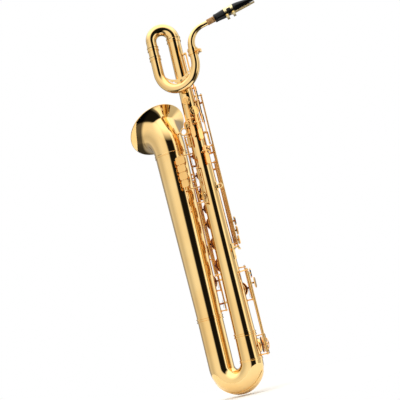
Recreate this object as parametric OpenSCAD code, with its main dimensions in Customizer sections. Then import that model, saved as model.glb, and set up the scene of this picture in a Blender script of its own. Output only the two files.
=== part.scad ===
/* [Body tube] */
// Radius of the body tube where it meets the bow
body_r_low = 30.5; // [29.5:0.1:31.5]
// How much the radius shrinks for each millimetre of height
body_taper = 0.01235; // [0.012:0.0001:0.0127]
// Height of the joint between bow and body tube
body_z0 = 162; // [160:1:164]
// Height of the top of the body tube
body_z1 = 1069; // [1066:1:1072]
// Stand-in thickness of every brass tube wall
wall = 1.2; // [1:0.1:1.4]

/* [Bow and bell] */
// Distance between the body axis and the bell axis
leg_gap = 100; // [98:1:102]
// Height where the straight legs of the bow end
bow_z = 86; // [84:1:88]
// Radius of the bow at its lowest point
bow_r = 36; // [35:0.5:36.5]
// Height of the joint between bow and bell
bell_z0 = 230; // [228:1:232]
// Radius of the bell tube at that joint
bell_r_low = 37.5; // [37:0.5:38.5]
// Height where the bell tube starts to lean forward
bell_z1 = 735; // [733:1:737]
// Radius of the bell tube there
bell_r_high = 47.6; // [47:0.2:48.4]
// Lean of the bell's mouth
bell_lean = 40; // [38:1:42]
// Bend radius of the leaning part
bell_bend = 110; // [106:1:114]
// Straight run after the bend, up to the rim
bell_run = 25; // [23:1:27]
// How far the bell's mouth is turned to the player's right
bell_turn = 30; // [25:1:32]
// Radius of the bell's rim
rim_r = 90; // [86:0.5:91]

/* [Pigtail] */
// Side offset of the loop from the body axis
loop_y = -37; // [-38:0.5:-36]
// Forward offset of the loop's front leg
loop_x0 = -55.3; // [-56:0.1:-54.6]
// Backward offset of the loop's rear leg
loop_x1 = 73.1; // [72:0.1:74]
// Height where the loop's round bottom starts
loop_z = 970; // [969:1:971]
// Radius of the loop tube at its front leg
loop_r0 = 15.8; // [15.4:0.1:16]
// Radius of the loop tube at its rear leg
loop_r1 = 12.3; // [12:0.1:12.4]
// Height of the mouth of the neck receiver
socket_z = 1000; // [999:1:1001]

/* [Neck and mouthpiece] */
// How far the neck is turned to the player's right
neck_turn = 20; // [15:1:25]
// Upward slope of the mouthpiece
mouth_slope = 12.3; // [11:0.1:13]
// Length of the mouthpiece
mouth_len = 128; // [126:1:130]

/* [Keys] */
// Height of a tone hole's rim above its tube
seat_rise = 3; // [2.8:0.1:3.2]
// Gap between a closed pad and its tone hole
pad_gap = 0.3; // [0.3:0.05:0.4]
// Radius of the steel hinge rods
rod_r = 1.5; // [1.4:0.05:1.5]
// How far the cups that stand open are lifted, in degrees
open_deg = 12; // [10:1:13]

/* [Strap ring] */
// Height of the strap ring's hole above the bow's lowest point
ring_z = 597; // [595:1:599]
// Distance of that hole from the body axis
ring_x = 37; // [36:0.5:38]
// Radius of the hole
ring_r = 5.5; // [5:0.1:6]

/* [Hidden] */
$fn = 48;

BRASS = "goldenrod";
STEEL = "silver";
BLACK = "#151515";
LEATHER = "#8a3a22";
CORK = "#c58a4a";
PEARL = "ivory";

gap = 0.05;             // solder line between pieces of the fixed body
tube_bore = rod_r + 0.06;
tube_r = 3;             // hinge tubes of the stack and low keys
thin_tube_r = 2.5;      // hinge tubes of the long side keys
head_r = 3.6;           // ball head of a post
pad_h = 2.6;
arm_rise = 6;           // height of a key arm's middle above the tone hole's rim
pearl_r = 7.4;

// Radius of the body line, bow sleeve included, and of the bell tube, at a height
function body_r(z) = z > body_z0 ? body_r_low - body_taper * (z - body_z0)
                                 : body_r_low + 0.025 * (body_z0 - z);
function bell_r(z) = bell_r_low + (bell_r_high - bell_r_low) * (z - bell_z0) / (bell_z1 - bell_z0);
function tube_at(ax, z) = ax == 0 ? body_r(z) : bell_r(z);
function seat(k) = tube_at(k[AX], k[KZ]) + seat_rise;

// Fields of a key whose hinge runs along the tubes:
// axis it sits on, height, angle, cup radius, hinge angle, hinge distance, hinge ends, lift at rest
AX = 0; KZ = 1; KT = 2; KR = 3; HA = 4; HD = 5; H0 = 6; H1 = 7; UP = 8;
BELL = -leg_gap;
stack_a = 182.1; stack_d = 39.5;    // hinge line of the upper stack
low_a = 185.6; low_d = 45.5;        // hinge line of the lower stack
C_KEY = [0, 745, 150, 11, stack_a, stack_d, 730.4, 763.5, open_deg];
B_KEY = [0, 708, 150, 13, stack_a, stack_d, 693.4, 730, open_deg];
BIS_KEY = [0, 678, 150, 9, stack_a, stack_d, 666.4, 693, open_deg];
A_KEY = [0, 648, 150, 15, stack_a, stack_d, 626.4, 666, open_deg];
G_KEY = [0, 600, 150, 16, stack_a, stack_d, 579.5, 626, open_deg];
FS_KEY = [0, 545, 150, 17, low_a, low_d, 524.4, 561.5, open_deg];
F_KEY = [0, 500, 150, 19, low_a, low_d, 470.4, 524, open_deg];
E_KEY = [0, 440, 150, 20, low_a, low_d, 409.4, 470, open_deg];
D_KEY = [0, 375, 150, 22, low_a, low_d, 351.5, 409, open_deg];
GS_KEY = [0, 580, 235, 13, 262.9, 38.5, 558, 655.5, 0];
SBB_KEY = [0, 655, 95, 12, 62, 40, 419.5, 670.5, 0];
SC_KEY = [0, 705, 95, 12.5, 50, 41, 428.6, 720.5, 0];
HE_KEY = [0, 858, 80, 13, 38, 42, 419.5, 875.5, 0];
EB_KEY = [0, 290, 75, 21, 40, 46.3, 259.5, 347.5, 0];
LC_KEY = [0, 123, 45, 23, 6.5, 53, 100.5, 335.5, open_deg];
LCS_KEY = [BELL, 266, 95, 22, 34, 53, 248.5, 655.5, 0];
LB_KEY = [BELL, 335, 95, 26, 43, 53, 309.5, 645.5, open_deg];
LBB_KEY = [BELL, 430, 95, 27, 52, 53, 404.5, 635.5, open_deg];
LA_KEY = [BELL, 560, 95, 28, 141, 54, 529.5, 645.5, open_deg];
STACK = [C_KEY, B_KEY, BIS_KEY, A_KEY, G_KEY, FS_KEY, F_KEY, E_KEY, D_KEY];
BODY_KEYS = concat(STACK, [GS_KEY, SBB_KEY, SC_KEY, HE_KEY, EB_KEY]);
BELL_KEYS = [LCS_KEY, LB_KEY, LBB_KEY, LA_KEY];
SINGLE_KEYS = concat([GS_KEY, SBB_KEY, SC_KEY, HE_KEY, EB_KEY, LC_KEY], BELL_KEYS);

// Fields of a key that rocks across the tube: angle, cup height, cup radius, hinge, touch end
QT = 0; QZ = 1; QR = 2; QH = 3; QE = 4;
PALM_D = [248, 795, 12.5, 768, 742];
PALM_EB = [320, 831, 14.5, 795, 757];
PALM_F = [285, 866, 12.5, 810, 770];
LOW_OCT = [26, 905, 4.5, 862, 806];
HIGH_OCT = [0, 1010, 4.5, 940, 806];
OCT_LEVER = [15, 796, 0, 764, 742];
A_LEVER = [325, 722, 0, 706, 682];
PALMS = [PALM_D, PALM_EB, PALM_F];
OCTAVES = [LOW_OCT, HIGH_OCT];
ROCKERS = concat(PALMS, OCTAVES, [OCT_LEVER, A_LEVER]);
rock_level = 9;         // height of a rocking bar's middle above the tube
rock_half = 8.5;        // half the distance between its two posts
rock_rod = 1.1;
rock_tube = 2.6;
pip_rise = 5;           // height of an octave vent's rim above the tube

// Left little finger table: its hinge line and the bottom and top of its four touches
table_a = 212.5;
table_d = 55.8;
TABLE = [[614.5, 637], [637.4, 660], [660.4, 683], [683.4, 707.5]];
TABLE_POSTS = [610, 712];

// Sweeping a round tube along points that lie in one plane with normal b
function unit(v) = v / norm(v);
function tangent(p, i) = unit(p[min(i + 1, len(p) - 1)] - p[max(i - 1, 0)]);
function ring(c, t, b, r, n) = let (u = cross(b, t))
    [for (k = [0:n - 1]) c + r * (cos(360 * k / n) * u + sin(360 * k / n) * b)];
module pipe(p, r, b, n, ends = [[0, 0, 0], [0, 0, 0]]) {
    m = len(p);
    t = [for (i = [0:m - 1]) i == 0 && norm(ends[0]) > 0 ? ends[0]
                          : i == m - 1 && norm(ends[1]) > 0 ? ends[1] : tangent(p, i)];
    outer = [for (i = [0:m - 1]) each ring(p[i], t[i], b, r[i], n)];
    inner = [for (i = [0:m - 1]) each ring(p[i], t[i], b, r[i] - wall, n)];
    s = m * n;
    e = (m - 1) * n;
    polyhedron(points = concat(outer, inner), faces = concat(
        [for (i = [0:m - 2], k = [0:n - 1]) let (j = (k + 1) % n)
            [i * n + k, i * n + j, (i + 1) * n + j, (i + 1) * n + k]],
        [for (i = [0:m - 2], k = [0:n - 1]) let (j = (k + 1) % n)
            [s + i * n + k, s + (i + 1) * n + k, s + (i + 1) * n + j, s + i * n + j]],
        [for (k = [0:n - 1]) let (j = (k + 1) % n) [k, s + k, s + j, j]],
        [for (k = [0:n - 1]) let (j = (k + 1) % n) [e + k, e + j, s + e + j, s + e + k]]
    ), convexity = 8);
}

// Everything is drawn with the bow's lowest point at height 0 and moved to the strap ring's hole
module placed() translate([-ring_x, 0, -ring_z]) children();
module around(ax, angle) translate([ax, 0, 0]) rotate([0, 0, angle]) children();
module outward(x, y, z) translate([x, y, z]) rotate([0, 90, 0]) children();

// Tone hole chimneys and their holes
module chimney(k) around(k[AX], k[KT]) outward(0, 0, k[KZ]) cylinder(h = seat(k), r = k[KR] - 2.3);
module hole(k) around(k[AX], k[KT]) outward(0, 0, k[KZ]) cylinder(h = 120, r = k[KR] - 3.5);
module rock_chimney(q) around(0, q[QT]) outward(0, 0, q[QZ])
    cylinder(h = body_r(q[QZ]) + seat_rise, r = q[QR] - 2.3);
module rock_hole(q) around(0, q[QT]) outward(0, 0, q[QZ]) cylinder(h = 60, r = q[QR] - 3.5);
module pip(q) around(0, q[QT]) outward(0, 0, q[QZ]) cylinder(h = body_r(q[QZ]) + pip_rise, r = 2.8);
module pip_hole(q) around(0, q[QT]) outward(0, 0, q[QZ]) cylinder(h = 60, r = 1.3);

module body_tube() placed() color(BRASS) difference() {
    union() {
        translate([0, 0, body_z0])
            cylinder(h = body_z1 - body_z0, r1 = body_r(body_z0 + 0.001), r2 = body_r(body_z1));
        for (k = BODY_KEYS) chimney(k);
        for (q = PALMS) rock_chimney(q);
        for (q = OCTAVES) pip(q);
    }
    translate([0, 0, body_z0 - 0.01])
        cylinder(h = body_z1 - body_z0 + 0.02, r1 = body_r_low - wall, r2 = body_r(body_z1) - wall);
    for (k = BODY_KEYS) hole(k);
    for (q = PALMS) rock_hole(q);
    for (q = OCTAVES) pip_hole(q);
}

module bow_sleeve() placed() color(BRASS) difference() {
    union() {
        translate([0, 0, bow_z]) cylinder(h = body_z0 - bow_z, r1 = body_r(bow_z), r2 = body_r_low);
        chimney(LC_KEY);
    }
    translate([0, 0, bow_z - 0.01])
        cylinder(h = body_z0 - bow_z + 0.02, r1 = body_r(bow_z) - wall, r2 = body_r_low - wall);
    hole(LC_KEY);
}

// The bow: half a turn from the sleeve to the bell side, then a straight leg up to the bell
bow_steps = 20;
function bow_angle(i) = 180 * i / bow_steps;
function bow_radius(i) = body_r(bow_z) + (bow_r - body_r(bow_z)) * sin(min(bow_angle(i), 90))
    + (i > bow_steps / 2 ? (bell_r_low - 0.4 - bow_r) * (2 * i / bow_steps - 1) : 0);
function bow_point(i) = [-leg_gap / 2 * (1 - cos(bow_angle(i))), 0,
                         bow_z - leg_gap / 2 * sin(bow_angle(i))];
bow_path = concat([for (i = [0:bow_steps]) bow_point(i)],
                  [[BELL, 0, (bow_z + bell_z0) / 2], [BELL, 0, bell_z0]]);
bow_radii = concat([for (i = [0:bow_steps]) bow_radius(i)], [bell_r_low - 0.2, bell_r_low]);
module bow() placed() color(BRASS)
    pipe(bow_path, bow_radii, [0, 1, 0], 36, [[0, 0, -1], [0, 0, 1]]);

// The guard that is soldered under the bow: a crescent that follows the outside of the turn
guard_steps = 24;
guard_cells = 8;
function guard_turn(i) = 22 + 136 * i / guard_steps;
function guard_half(i) = 4 + 34 * pow(sin(180 * i / guard_steps), 0.6);
function guard_point(i, j, lift) = let (
        a = guard_turn(i),
        w = guard_half(i) * (2 * j / guard_cells - 1),
        c = [-leg_gap / 2 * (1 - cos(a)), 0, bow_z - leg_gap / 2 * sin(a)],
        out = [cos(a), 0, -sin(a)],
        r = bow_radius(a / 180 * bow_steps) + lift)
    c + r * (cos(w) * out + sin(w) * [0, 1, 0]);
module bow_guard() placed() color(BRASS) {
    n = guard_cells + 1;
    s = (guard_steps + 1) * n;
    last = guard_steps;
    points = concat(
        [for (i = [0:last], j = [0:guard_cells]) guard_point(i, j, 1.5)],
        [for (i = [0:last], j = [0:guard_cells]) guard_point(i, j, 0.3)]);
    polyhedron(points = points, faces = concat(
        [for (i = [0:last - 1], j = [0:guard_cells - 1])
            [i * n + j, i * n + j + 1, (i + 1) * n + j + 1, (i + 1) * n + j]],
        [for (i = [0:last - 1], j = [0:guard_cells - 1])
            [s + i * n + j, s + (i + 1) * n + j, s + (i + 1) * n + j + 1, s + i * n + j + 1]],
        [for (i = [0:last - 1]) [i * n, (i + 1) * n, s + (i + 1) * n, s + i * n]],
        [for (i = [0:last - 1]) let (j = guard_cells)
            [i * n + j, s + i * n + j, s + (i + 1) * n + j, (i + 1) * n + j]],
        [for (j = [0:guard_cells - 1]) [j, s + j, s + j + 1, j + 1]],
        [for (j = [0:guard_cells - 1]) let (e = last * n)
            [e + j, e + j + 1, s + e + j + 1, s + e + j]]
    ), convexity = 6);
}

module bell_tube() placed() color(BRASS) difference() {
    union() {
        translate([BELL, 0, bell_z0]) cylinder(h = bell_z1 - bell_z0, r1 = bell_r_low, r2 = bell_r_high);
        for (k = BELL_KEYS) chimney(k);
    }
    translate([BELL, 0, bell_z0 - 0.01])
        cylinder(h = bell_z1 - bell_z0 + 0.02, r1 = bell_r_low - wall, r2 = bell_r_high - wall);
    for (k = BELL_KEYS) hole(k);
}

// The flare leans forward on an arc, then runs straight to the rim
flare_steps = 18;
flare_arc = bell_bend * bell_lean * PI / 180;
flare_len = flare_arc + bell_run;
function flare_s(i) = flare_len * (1 - pow(1 - i / flare_steps, 1.3));
function flare_a(s) = min(s, flare_arc) / bell_bend * 180 / PI;
function flare_point(s) = let (a = flare_a(s), d = max(s - flare_arc, 0))
    [BELL - bell_bend * (1 - cos(a)) - d * sin(a), 0, bell_z1 + bell_bend * sin(a) + d * cos(a)];
function flare_r(s) = let (t = s / flare_len)
    bell_r_high + (rim_r - bell_r_high) * (0.18 * t + 0.27 * pow(t, 3) + 0.55 * pow(t, 7));
rim_centre = flare_point(flare_len);
module turned_mouth() translate([BELL, 0, 0]) rotate([0, 0, -bell_turn]) translate([-BELL, 0, 0]) children();
module bell_flare() placed() color(BRASS) turned_mouth()
    pipe([for (i = [0:flare_steps]) flare_point(flare_s(i))],
         [for (i = [0:flare_steps]) flare_r(flare_s(i))],
         [0, 1, 0], 48, [[0, 0, 1], [-sin(bell_lean), 0, cos(bell_lean)]]);

// The bead rolled over a wire round the rim
module bell_rim() placed() color(BRASS) turned_mouth() translate(rim_centre) rotate([0, -bell_lean, 0])
    translate([0, 0, 1.9]) rotate_extrude() translate([rim_r - 0.6, 0]) circle(r = 1.8, $fn = 24);

// The top bend turns the body line over into the loop's front leg
top_span = norm([loop_x0, loop_y]);
top_dir = [loop_x0, loop_y, 0] / top_span;
top_steps = 14;
module top_bend() placed() color(BRASS)
    pipe([for (i = [0:top_steps]) let (a = 180 * i / top_steps)
              [0, 0, body_z1] + top_span / 2 * ((1 - cos(a)) * top_dir + [0, 0, sin(a)])],
         [for (i = [0:top_steps]) body_r(body_z1) + (loop_r0 - body_r(body_z1)) * i / top_steps],
         cross(top_dir, [0, 0, -1]), 32, [[0, 0, 1], [0, 0, -1]]);

// The loop: front leg down, round bottom, rear leg up to the neck receiver
loop_bend = (loop_x1 - loop_x0) / 2;
loop_steps = 20;
function loop_t(i) = loop_r0 + (loop_r1 - loop_r0) * i / (loop_steps + 2);
module pigtail_loop() placed() color(BRASS)
    pipe(concat([[loop_x0, loop_y, body_z1]],
                [for (i = [0:loop_steps]) let (a = 180 * i / loop_steps)
                    [loop_x0 + loop_bend * (1 - cos(a)), loop_y, loop_z - loop_bend * sin(a)]],
                [[loop_x1, loop_y, loop_z + 14]]),
         [for (i = [0:loop_steps + 2]) loop_t(i)], [0, -1, 0], 32, [[0, 0, -1], [0, 0, 1]]);

// Ferrules: turned rings over every joint of the tube
module bead_ring(r, h, out) rotate_extrude() polygon([
    [r, 0], [r + out, 0], [r + out, h * 0.2], [r + out * 0.45, h * 0.3], [r + out * 0.45, h * 0.7],
    [r + out, h * 0.8], [r + out, h], [r, h]]);
module ferrules() placed() color(BRASS) {
    translate([0, 0, body_z0 - 6]) bead_ring(body_r(body_z0 - 6) + gap, 12, 2.6);
    translate([0, 0, bow_z - 0.5]) bead_ring(body_r(bow_z) + 0.15, 6, 2.2);
    translate([BELL, 0, bell_z0 - 6]) bead_ring(bell_r(bell_z0 + 6) + gap, 12, 2.6);
    translate([BELL, 0, bell_z1 - 7.5]) bead_ring(bell_r_high + 0.2, 8, 1.4);
    translate([0, 0, body_z1 - 13.5]) bead_ring(body_r(body_z1 - 13.5) + gap, 14, 2.2);
    translate([loop_x0, loop_y, 1042]) bead_ring(loop_r0 + gap, 12, 1.8);
    translate([loop_x0, loop_y, 1012]) bead_ring(loop_r0 + gap, 12, 1.8);
}

// The receiver: a socket with a split collar that a screw pulls together
socket_r = 12.6;
clamp_z = 990;
clamp_x = loop_x1 + socket_r + 8.5;
module neck_receiver() placed() color(BRASS) difference() {
    union() {
        translate([loop_x1, loop_y, 984.1]) cylinder(h = socket_z - 984.1, r = socket_r + 2.2);
        translate([loop_x1, loop_y, 984.1]) cylinder(h = 4, r = socket_r + 3.4);
        translate([loop_x1, loop_y, socket_z - 3]) cylinder(h = 3, r = socket_r + 3.4);
        translate([loop_x1 + socket_r, loop_y - 5.5, clamp_z - 5]) cube([13, 11, 10]);
    }
    translate([loop_x1, loop_y, 984]) cylinder(h = 30, r = socket_r);
    translate([loop_x1, loop_y - 0.75, 988.5]) cube([socket_r + 16, 1.5, 20]);
    translate([clamp_x, loop_y - 10, clamp_z]) rotate([-90, 0, 0])
        cylinder(h = 20, r = 2.1);
}

// The crescent plate that ties the loop together, with a boss and pierced windows
module loop_brace() placed() color(BRASS) {
    translate([0, loop_y + 1.2, 0]) rotate([90, 0, 0]) difference() {
        linear_extrude(2.4) difference() {
            intersection() {
                translate([(loop_x0 + loop_x1) / 2, loop_z]) circle(r = loop_bend - loop_r0 - 0.4, $fn = 72);
                translate([-60, 880]) square([160, 74]);
            }
            translate([(loop_x0 + loop_x1) / 2, 992]) circle(r = 59, $fn = 72);
            for (s = [-1, 1]) translate([(loop_x0 + loop_x1) / 2 + s * 22, 928]) circle(r = 3.4);
            for (s = [-1, 1]) translate([(loop_x0 + loop_x1) / 2 + s * 34, 938]) circle(r = 2.2);
        }
    }
    translate([(loop_x0 + loop_x1) / 2, loop_y - 1.2, 926.8]) rotate([90, 0, 0]) {
        cylinder(h = 2, r = 7);
        cylinder(h = 4, r = 4.5);
    }
}

// The brace between body and bell: a ring on two feet
module bell_brace() placed() color(BRASS) translate([0, 0, 786]) {
    body_side = -body_r(780) - gap;
    bell_side = -56.4;
    ring_mid = -39;
    rotate([90, 0, 0]) translate([ring_mid, 0, 0]) rotate_extrude()
        translate([10, 0]) circle(r = 1.9, $fn = 24);
    outward(ring_mid + 10, 0, 0) cylinder(h = body_side - ring_mid - 10, r = 2.2);
    outward(body_side - 1.4, 0, 0) cylinder(h = 1.4, r = 6);
    outward(bell_side, 0, 0) cylinder(h = ring_mid - 10 - bell_side, r = 2.2);
}

module strap_ring() placed() color(BRASS) {
    difference() {
        union() {
            translate([ring_x, 1.5, ring_z]) rotate([90, 0, 0]) cylinder(h = 3, r = ring_r + 3);
            translate([body_r(ring_z) + 1, -1.5, ring_z - 5]) cube([6, 3, 10]);
            outward(body_r(ring_z - 14) + gap, 0, ring_z) cylinder(h = 1.6, r = 7);
            translate([body_r(ring_z - 14) + gap, -3.5, ring_z - 14]) cube([1.6, 7, 28]);
        }
        translate([ring_x, 5, ring_z]) rotate([90, 0, 0]) cylinder(h = 10, r = ring_r);
    }
}

module thumb_rest() placed() color(BRASS) around(0, OCT_LEVER[QT])
    outward(body_r(700) + 0.15, 0, 712) {
    cylinder(h = 2.5, r = 6);
    translate([0, 0, 2.5]) cylinder(h = 3.5, r1 = 10, r2 = 9.2);
}

module thumb_hook() placed() color(BRASS) {
    foot = body_r(375) + 0.1;
    translate([foot, -5, 378]) cube([2.2, 10, 46]);
    translate([foot + 11, 6, 402]) rotate([90, 0, 0]) difference() {
        cylinder(h = 12, r = 11);
        translate([0, 0, -1]) cylinder(h = 14, r = 8.6);
        translate([-20, -20, -1]) cube([40, 20, 14]);
    }
    outward(foot + 1, 0, 386) cylinder(h = 2.4, r = 4);
}

// Widest radius of the tube under a foot at a height
function under(ax, z) = max(tube_at(ax, z - 5), tube_at(ax, z + 5));

// A post: foot, stem and ball head; the bore of the head takes the hinge rod
module post(ax, angle, d, z, along = true, bore = rod_r + 0.03, r = head_r) around(ax, angle)
    difference() {
        union() {
            outward(under(ax, z) + gap, 0, z) {
                cylinder(h = 1.3, r = 4.2);
                cylinder(h = d - under(ax, z) - gap, r = 1.9);
            }
            translate([d, 0, z]) sphere(r = r, $fn = 24);
        }
        translate([d, 0, z]) rotate(along ? [0, 0, 0] : [90, 0, 0])
            cylinder(h = 30, r = bore, center = true);
    }
module rock_posts(q) {
    x = body_r(q[QH]) + rock_level;
    a = atan2(rock_half, x);
    for (s = [-1, 1]) difference() {
        post(0, q[QT] + s * a, norm([x, rock_half]), q[QH], true, 0.01, 3);
        around(0, q[QT]) translate([x, 0, q[QH]]) rotate([90, 0, 0])
            cylinder(h = 60, r = rock_rod + 0.03, center = true);
    }
}
module key_posts() placed() color(BRASS) {
    for (z = [575, 768]) post(0, stack_a, stack_d, z);
    for (z = [347, 566]) post(0, low_a, low_d, z);
    for (k = SINGLE_KEYS) for (z = [k[H0] - 4.5, k[H1] + 4.5]) post(k[AX], k[HA], k[HD], z);
    for (z = TABLE_POSTS) post(0, table_a, table_d, z);
    for (q = ROCKERS) rock_posts(q);
}

// The steel rods that the keys turn on
module rod(ax, angle, d, z0, z1) around(ax, angle) {
    translate([d, 0, z0 - 3.2]) cylinder(h = z1 - z0 + 6.9, r = rod_r);
    translate([d, 0, z1 + 3.7]) cylinder(h = 1.3, r = 2.2);
}
module rock_pin(q) around(0, q[QT]) translate([body_r(q[QH]) + rock_level, 0, q[QH]])
    rotate([90, 0, 0]) cylinder(h = 2 * rock_half + 5, r = rock_rod, center = true);
module hinge_rods() placed() color(STEEL) {
    rod(0, stack_a, stack_d, 575, 768);
    rod(0, low_a, low_d, 347, 566);
    for (k = SINGLE_KEYS) rod(k[AX], k[HA], k[HD], k[H0] - 4.5, k[H1] + 4.5);
    rod(0, table_a, table_d, TABLE_POSTS[0], TABLE_POSTS[1]);
    for (q = ROCKERS) rock_pin(q);
}

// Guards over the low cups: a ring on three legs with a felt bumper in its middle
guard_rise = 23;
module guard(k) around(k[AX], k[KT]) {
    top = seat(k) + guard_rise;
    out = k[KR] + 5;
    third = k[HA] < k[KT] && k[AX] == BELL;
    outward(top, 0, k[KZ]) {
        rotate_extrude() translate([k[KR] - 7, 0]) circle(r = 1.6, $fn = 16);
        for (a = third ? [90, -90, 0] : [90, -90]) rotate([0, 0, a])
            translate([-1.6, 0, -1]) cube([3.2, out, 2]);
        cylinder(h = 3, r = 5, center = true);
    }
    for (z = [k[KZ] - out, k[KZ] + out]) outward(under(k[AX], z) + gap, 0, z) {
        cylinder(h = 1.3, r = 3);
        cylinder(h = top - under(k[AX], z) + 1, r = 1.6);
    }
    if (third) {
        side = sqrt(pow(under(k[AX], k[KZ]) + 0.2, 2) - pow(out - 1.6, 2));
        outward(side, out, k[KZ]) cylinder(h = top - side + 1, r = 1.6);
    }
}
module guard_felt(k) around(k[AX], k[KT]) outward(seat(k) + guard_rise - 6.4, 0, k[KZ])
    cylinder(h = 4.8, r = 5);
GUARDED = [LC_KEY, LB_KEY, LBB_KEY, LA_KEY];
module key_guards() placed() {
    color(BRASS) for (k = GUARDED) guard(k);
    color(BLACK) for (k = GUARDED) guard_felt(k);
}

// Blued needle springs, each from a post along its key's hinge tube
module needle(ax, angle, d, z) around(ax, angle) translate([d - 5.6, 0, z]) cylinder(h = 26, r = 0.45, $fn = 16);
module needle_springs() placed() color(STEEL) {
    for (k = SINGLE_KEYS) needle(k[AX], k[HA], k[HD], k[H0] + 2);
    for (k = STACK) needle(k[AX], k[HA], k[HD], k[H0] + 4);
}

// Key parts in the cup's own frame: x points out of the tube, z runs up it
module cup(r) rotate_extrude() polygon([
    [0, pad_h + 0.15], [r - 1, pad_h + 0.15], [r - 1, 1.2], [r, 1.2], [r, 3.2], [r - 0.8, 4],
    [r * 0.62, 4.6], [r * 0.55, 5.6], [0, 6]]);
module pad(r) cylinder(h = pad_h, r = r - 1.1);
module pearl() rotate_extrude() polygon([[0, 0], [pearl_r, 0], [pearl_r - 0.6, 1.2], [0, 2.2]]);
module pearl_cup() difference() {
    cylinder(h = 3.6, r = pearl_r + 1);
    translate([0, 0, 1.6]) cylinder(h = 3, r = pearl_r + 0.1);
}

// Turns a key about its hinge line from the closed place to where it rests
module lifted(k) {
    x = k[HD] * cos(k[HA] - k[KT]);
    y = k[HD] * sin(k[HA] - k[KT]);
    around(k[AX], k[KT]) translate([x, y, 0]) rotate([0, 0, sign(y) * k[UP]]) translate([-x, -y, 0])
        children();
}
module long_key(k, with_pearl = false, r = tube_r, arm_z = 0) {
    x = k[HD] * cos(k[HA] - k[KT]);
    y = k[HD] * sin(k[HA] - k[KT]);
    top = seat(k) + arm_rise;
    low = min(top, x) - 1.6;
    high = max(top, x) + 1.6;
    difference() {
        union() {
            outward(seat(k) + pad_gap, 0, k[KZ]) cup(k[KR]);
            translate([top - 1.6, min(y, -2 * sign(y)), k[KZ] - 2.6]) cube([3.2, abs(y) + 2, 5.2]);
            translate([low, y - 1.8, k[KZ] - 2.6]) cube([high - low, 3.6, 5.2]);
            translate([x, y, k[H0]]) cylinder(h = k[H1] - k[H0], r = r);
            if (with_pearl) outward(top + 0.4, 0, k[KZ]) pearl_cup();
        }
        translate([x, y, k[H0] - 1]) cylinder(h = k[H1] - k[H0] + 2, r = tube_bore);
    }
}
module long_pad(k) color(LEATHER) outward(seat(k) + pad_gap, 0, k[KZ]) pad(k[KR]);
module long_pearl(k) color(PEARL) outward(seat(k) + arm_rise + 2.1, 0, k[KZ]) pearl();
module stack_key(k, with_pearl) placed() lifted(k) {
    color(BRASS) long_key(k, with_pearl);
    long_pad(k);
    if (with_pearl) long_pearl(k);
}
module c_key() stack_key(C_KEY, false);
module b_key() stack_key(B_KEY, true);
module bis_key() stack_key(BIS_KEY, false);
module a_key() stack_key(A_KEY, true);
module g_key() stack_key(G_KEY, true);
module f_sharp_key() stack_key(FS_KEY, false);
module f_key() stack_key(F_KEY, true);
module e_key() stack_key(E_KEY, true);
module d_key() stack_key(D_KEY, true);

// A flat touch with a round end, standing off a hinge tube; angle, distance and height of its middle
module touch(k, angle, d, z, long, wide) around(k[AX], angle - k[KT]) {
    translate([d, -wide / 2, z - long / 2]) cube([2.4, wide, long]);
    for (s = [-1, 1]) outward(d, 0, z + s * long / 2) cylinder(h = 2.4, r = wide / 2);
}
module stalk(k, angle, d, z) {
    p = k[HD] * [cos(k[HA] - k[KT]), sin(k[HA] - k[KT])];
    q = d * [cos(angle - k[KT]), sin(angle - k[KT])];
    translate([p[0], p[1], z - 2.5]) rotate([0, 0, atan2(q[1] - p[1], q[0] - p[0])])
        translate([tube_bore + 0.4, -1.6, 0]) cube([norm(q - p) - tube_bore + 0.8, 3.2, 5]);
}
module touched_key(k, angle, d, z, long, wide, r = tube_r) placed() lifted(k) {
    color(BRASS) {
        long_key(k, false, r);
        touch(k, angle, d, z, long, wide);
        stalk(k, angle, d, z);
    }
    long_pad(k);
}
module g_sharp_key() plain_low_key(GS_KEY, tube_r);
module side_bb_key() touched_key(SBB_KEY, 50, 51, 434, 14, 12, thin_tube_r);
module side_c_key() touched_key(SC_KEY, 48, 52, 462, 14, 12, thin_tube_r);
module high_e_key() touched_key(HE_KEY, 44, 51, 490, 14, 12, thin_tube_r);
module eb_key() touched_key(EB_KEY, 34, 57, 330, 14, 14);
module low_c_key() touched_key(LC_KEY, 22, 60, 300, 16, 15, 4);
module plain_low_key(k, r) placed() lifted(k) {
    color(BRASS) long_key(k, false, r);
    long_pad(k);
}
module low_c_sharp_key() plain_low_key(LCS_KEY, thin_tube_r);
module low_b_key() plain_low_key(LB_KEY, thin_tube_r);
module low_bb_key() plain_low_key(LBB_KEY, thin_tube_r);
module low_a_key() plain_low_key(LA_KEY, tube_r);

// A lever of the little finger table: tube, arm and a rounded touch that faces the player's left
module table_lever(i, x0, x1) placed() color(BRASS) {
    z0 = TABLE[i][0];
    z1 = TABLE[i][1];
    hx = table_d * cos(table_a);
    hy = table_d * sin(table_a);
    face = -54;
    difference() {
        union() {
            translate([hx, hy, z0]) cylinder(h = z1 - z0, r = tube_r);
            translate([hx - 1.8, face + 1, (z0 + z1) / 2 - 3]) cube([3.6, hy - face, 6]);
            hull() for (x = [x0 + 5, x1 - 5], z = [z0 + 5.6, z1 - 5.6])
                translate([x, face, z]) rotate([-90, 0, 0]) cylinder(h = 2.6, r = 5);
            translate([x1 - 0.5, face + 2.2, z0 + 4]) cylinder(h = z1 - z0 - 8, r = 2.2);
            translate([hx - 12, hy - 1.6, (z0 + z1) / 2 - 2.5]) cube([12, 3.2, 5]);
        }
        translate([hx, hy, z0 - 1]) cylinder(h = z1 - z0 + 2, r = tube_bore);
    }
}
module low_bb_lever() table_lever(0, -57, -35);
module low_b_lever() table_lever(1, -59, -33);
module low_c_sharp_lever() table_lever(2, -59, -33);
module g_sharp_lever() table_lever(3, -60, -30);

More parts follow.
